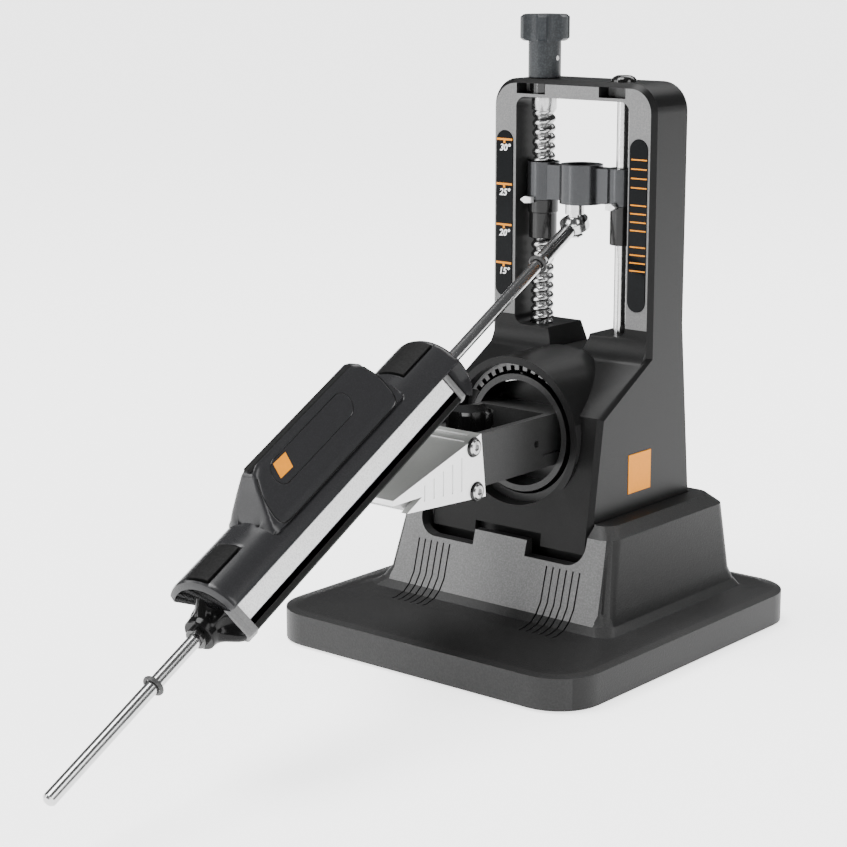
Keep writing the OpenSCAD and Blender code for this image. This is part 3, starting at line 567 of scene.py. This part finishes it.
def handle():
    """The open shell with its grip, and the disc with the rod's hole that closes its top end."""
    to_world = rod_matrix(HANDLE_ROLL)
    half = math.radians(SHELL_HALF)
    columns, steps = 104, 190
    phis = [-half + 2 * half * j / columns for j in range(columns + 1)]
    stations = [DISC_END + (SHELL_Z[1] - DISC_END) * i / steps for i in range(steps + 1)]

    def at(r, phi, s):
        return to_world @ Vector((r * math.sin(phi), r * math.cos(phi), s))

    rows = []
    for s in stations:
        outer = [at(shell_radius(p, s), p, s) for p in phis]
        inner = [at(SHELL_IN, p, s) for p in reversed(phis[::4])]
        rows.append(outer + inner)
    shell = loft("fine_handle", rows)

    # The disc is cut off flat below the rod; its hole takes the bar's guide tube.
    cut, tube, cut_round = 4.8, 3.05, 0.6
    disc_rows = []
    angles = turns(120)
    for depth in (0, 0.15, 0.4, 0.8, 1.3, DISC_END - SHELL_Z[0]):
        round_r = SHELL_R - end_round(depth, TOP_ROUND)
        flat = cut - end_round(depth, cut_round)
        radii = [min(round_r, flat / max(1e-6, -math.cos(a))) for a in angles]
        disc_rows.append([at(r, a, SHELL_Z[0] + depth) for r, a in zip(radii, angles)])
    disc_rows.append([at(tube, a, DISC_END) for a in angles])
    disc_rows.append([at(tube, a, SHELL_Z[0]) for a in angles])
    disc = loft("disc", disc_rows, closed=True)
    show(join(shell, disc), "grip", "handle_plastic", ["handle"])


handle()


def ridge_strip():
    """Rough strip along the top of the grip, with tapered ends."""
    to_world = rod_matrix(HANDLE_ROLL)
    under, chamfer, shoulder = GRIP_TOP - 0.6, 0.25, 0.2
    rows = []
    for s, half, top in ((118.6, 0.7, 26.1), (119.4, 1.2, 26.45), (168.0, 1.2, 26.45), (168.8, 0.7, 26.1)):
        section = ((-half, under), (half, under), (half, top - shoulder), (half - chamfer, top),
                   (chamfer - half, top), (-half, top - shoulder))
        rows.append([to_world @ Vector((x, y, s)) for x, y in section])
    show(loft("ridge_strip", rows), "grip", "grip_rubber")


ridge_strip()


def side_plane(s, t, proud):
    """A point on the grip's right-hand side, by the distance along the rod and up the side."""
    nx, ny, d = GRIP_SIDE
    return rod_matrix(HANDLE_ROLL) @ Vector((nx * (d + proud) - ny * t, ny * (d + proud) + nx * t, s))


def groove_shade_line(name, path, radius, closed):
    """A thin black line of painted groove shade that lies on the grip's surface, along (s, t) points of its
    side.
    """
    nx, ny, d = GRIP_SIDE
    flatness = 0.5
    last = len(path) - 1
    rows = []
    for i, (s, t) in enumerate(path):
        before = path[i - 1] if closed or i else path[0]
        after = path[(i + 1) % len(path)] if closed or i < last else path[-1]
        ds, dt = after[0] - before[0], after[1] - before[1]
        across_s, across_t = radius * dt / math.hypot(ds, dt), -radius * ds / math.hypot(ds, dt)
        phi = math.atan2(nx * d - ny * t, ny * d + nx * t)
        lift = (shell_radius(phi, s) - math.hypot(d, t)) * d / math.hypot(d, t)
        rows.append([side_plane(s + across_s * math.cos(b), t + across_t * math.cos(b),
                                lift + flatness * radius * math.sin(b)) for b in turns(8)])
    show(loft(name, rows, closed=closed), "grip", "sleeve_black")


def grip_panel():
    """Painted groove shade as fine black lines round the long oval panel and round the root of the side, and
    the plain orange badge.
    """
    mid_t, half_t, ends = 17.7, 3.7, (130.8, 160.4)
    arc_steps = 24
    oval = []
    for s, start in ((ends[1], -90), (ends[0], 90)):
        for i in range(arc_steps + 1):
            a = math.radians(start + 180 / arc_steps * i)
            oval.append((s + half_t * math.cos(a), mid_t + half_t * math.sin(a)))
    # Painted shade of the groove round the oval panel, as a black line.
    groove_shade_line("panel_groove_shade", oval, 0.16, True)
    corner = ((168.7, 21.0), (170.6, 17.0), (171.3, 14.0), (171.6, 10.4), (171.3, 8.6), (170.5, 7.5),
              (169.0, 7.0), (166.0, 6.9))
    root_shade = corner + tuple((GRIP_Z[0] + GRIP_Z[1] - s, t) for s, t in reversed(corner))
    # Painted shade in the groove at the root of the side, as a black line.
    groove_shade_line("grip_root_shade", root_shade, 0.26, False)
    outline = ((156.0, 20.5), (161.6, 20.7), (162.4, 16.4), (156.9, 16.2))
    rows = [[side_plane(s, t, proud) for s, t in outline] for proud in (-0.2, 0.12)]
    show(loft("grip_badge", rows), "grip", "accent_orange")


grip_panel()


# ---------------------------------------------------------------- fluted end cap of the bar
CAP_Z = 196.1
CAP_HOLE = 3.04


def blunt_triangle(a, corner, flat):
    """Radius of the bar's three-sided outline at an angle, with its corners cut to a circle."""
    toward = max(math.cos(a - math.radians(90 + 120 * k)) for k in range(3))
    return min(corner, flat / toward)


def bar_skin(name, outline, slot, replaces=()):
    """Skin round the guide tube; the outline's rows are (height, corner radius, flat, flute depth)."""
    to_world = rod_matrix(BAR_ROLL)
    angles = turns(144)
    rows = []
    for z, corner, flat, depth in outline:
        radii = [blunt_triangle(a, corner, flat) * (1 - depth * (0.5 + 0.5 * math.cos(6 * a)) ** 0.8)
                 for a in angles]
        rows.append([to_world @ Vector((r * math.cos(a), r * math.sin(a), CAP_Z + z))
                     for r, a in zip(radii, angles)])
    for z in (outline[-1][0], outline[0][0]):
        rows.append([to_world @ Vector((CAP_HOLE * math.cos(a), CAP_HOLE * math.sin(a), CAP_Z + z))
                     for a in angles])
    show(loft(name, rows, closed=True), "bar", slot, replaces)


bar_skin("end_plate_flange", ((0, 11.0, 6.40, 0), (1.6, 11.0, 6.40, 0), (1.9, 10.8, 6.2, 0)),
         "end_plate_grey")
bar_skin("fine_finned_cap",
         ((1.9, 10.2, 6.0, 0.03), (2.6, 9.9, 5.9, 0.10), (3.4, 9.2, 5.8, 0.18), (4.4, 8.0, 5.6, 0.24),
          (5.3, 6.8, 5.3, 0.22), (6.1, 5.8, 5.0, 0.14), (6.8, 5.0, 4.8, 0.03), (7.2, 4.8, 4.8, 0),
          (8.5, 4.7, 4.7, 0), (8.8, 4.4, 4.4, 0)), "cap_gloss", ["finned_cap"])


# ---------------------------------------------------------------- dark rims of the jaw head's screws
def screw_rims():
    """Thin dark washers on the outer faces of the cheeks, round each button head."""
    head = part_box("jaw_head")
    for name in ("jaw_head_screws", "jaw_pivot_screws"):
        low, high = (Vector(v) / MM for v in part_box(name))
        _, y, z = (low + high) / 2
        for side, x, out in (("left", head[0][0] / MM, -1), ("right", head[1][0] / MM, 1)):
            section = ((2.3, -0.05), (2.3, 0.75), (2.6, 0.75), (3.0, 0.15), (3.0, -0.05))
            rows = [[Vector((x + out * depth, y + r * math.cos(a), z + r * math.sin(a))) * MM
                     for a in turns(48)] for r, depth in section]
            show(loft(f"{name}_rim_{side}", rows, closed=True), "clamp", "sleeve_black")


screw_rims()


# ---------------------------------------------------------------- stage, light and camera
floor_mesh = bmesh.new()
bmesh.ops.create_grid(floor_mesh, x_segments=1, y_segments=1, size=14)
floor = link_bmesh(floor_mesh, "floor")
floor.location = (0, 0, -0.2 * MM)
floor_white = principled("floor_white", grey(0.8), 0.9)
floor_shader = floor_white.node_tree.nodes["Principled BSDF"]
floor_shader.inputs["Emission Color"].default_value = (1, 1, 1, 1)
floor_shader.inputs["Emission Strength"].default_value = 2.2
floor.data.materials.append(floor_white)


def area_light(name, loc, size, power):
    """A soft box aimed at the middle of the object."""
    data = bpy.data.lights.new(name, "AREA")
    data.shape = "RECTANGLE"
    data.size, data.size_y = size
    data.energy = power
    obj = bpy.data.objects.new(name, data)
    bpy.context.scene.collection.objects.link(obj)
    obj.location = loc
    obj.rotation_euler = (Vector(LIT_POINT) - Vector(loc)).to_track_quat("-Z", "Y").to_euler()


LIT_POINT = (0, 0, 0.09)
area_light("front_left", (-0.75, -0.75, 0.45), (0.9, 0.5), 8)
area_light("right", (0.95, -0.1, 0.6), (0.5, 0.8), 8)
area_light("back_top", (-0.1, 0.7, 0.9), (0.9, 0.4), 6)
area_light("strip", (-0.42, -0.85, 0.35), (0.05, 0.8), 2.5)

sun = bpy.data.lights.new("sun", "SUN")
sun.energy = 4.6
sun.angle = math.radians(35)
sun_obj = bpy.data.objects.new("sun", sun)
bpy.context.scene.collection.objects.link(sun_obj)
sun_obj.rotation_euler = (math.radians(12), math.radians(-14), 0)

world = bpy.data.worlds.new("studio")
bpy.context.scene.world = world
world.use_nodes = True
world.node_tree.nodes["Background"].inputs["Color"].default_value = (0.95, 0.97, 1.0, 1)
world.node_tree.nodes["Background"].inputs["Strength"].default_value = 0.12

cam_data = bpy.data.cameras.new("camera")
cam_data.sensor_width = 36
cam_data.lens = 92.6
cam_data.clip_end = 60
camera = bpy.data.objects.new("camera", cam_data)
bpy.context.scene.collection.objects.link(camera)
camera.location = (0.4021, -0.5397, 0.2179)
camera.rotation_euler = (math.radians(90 - 12.63), math.radians(0.07), math.radians(39.77))
bpy.context.scene.camera = camera
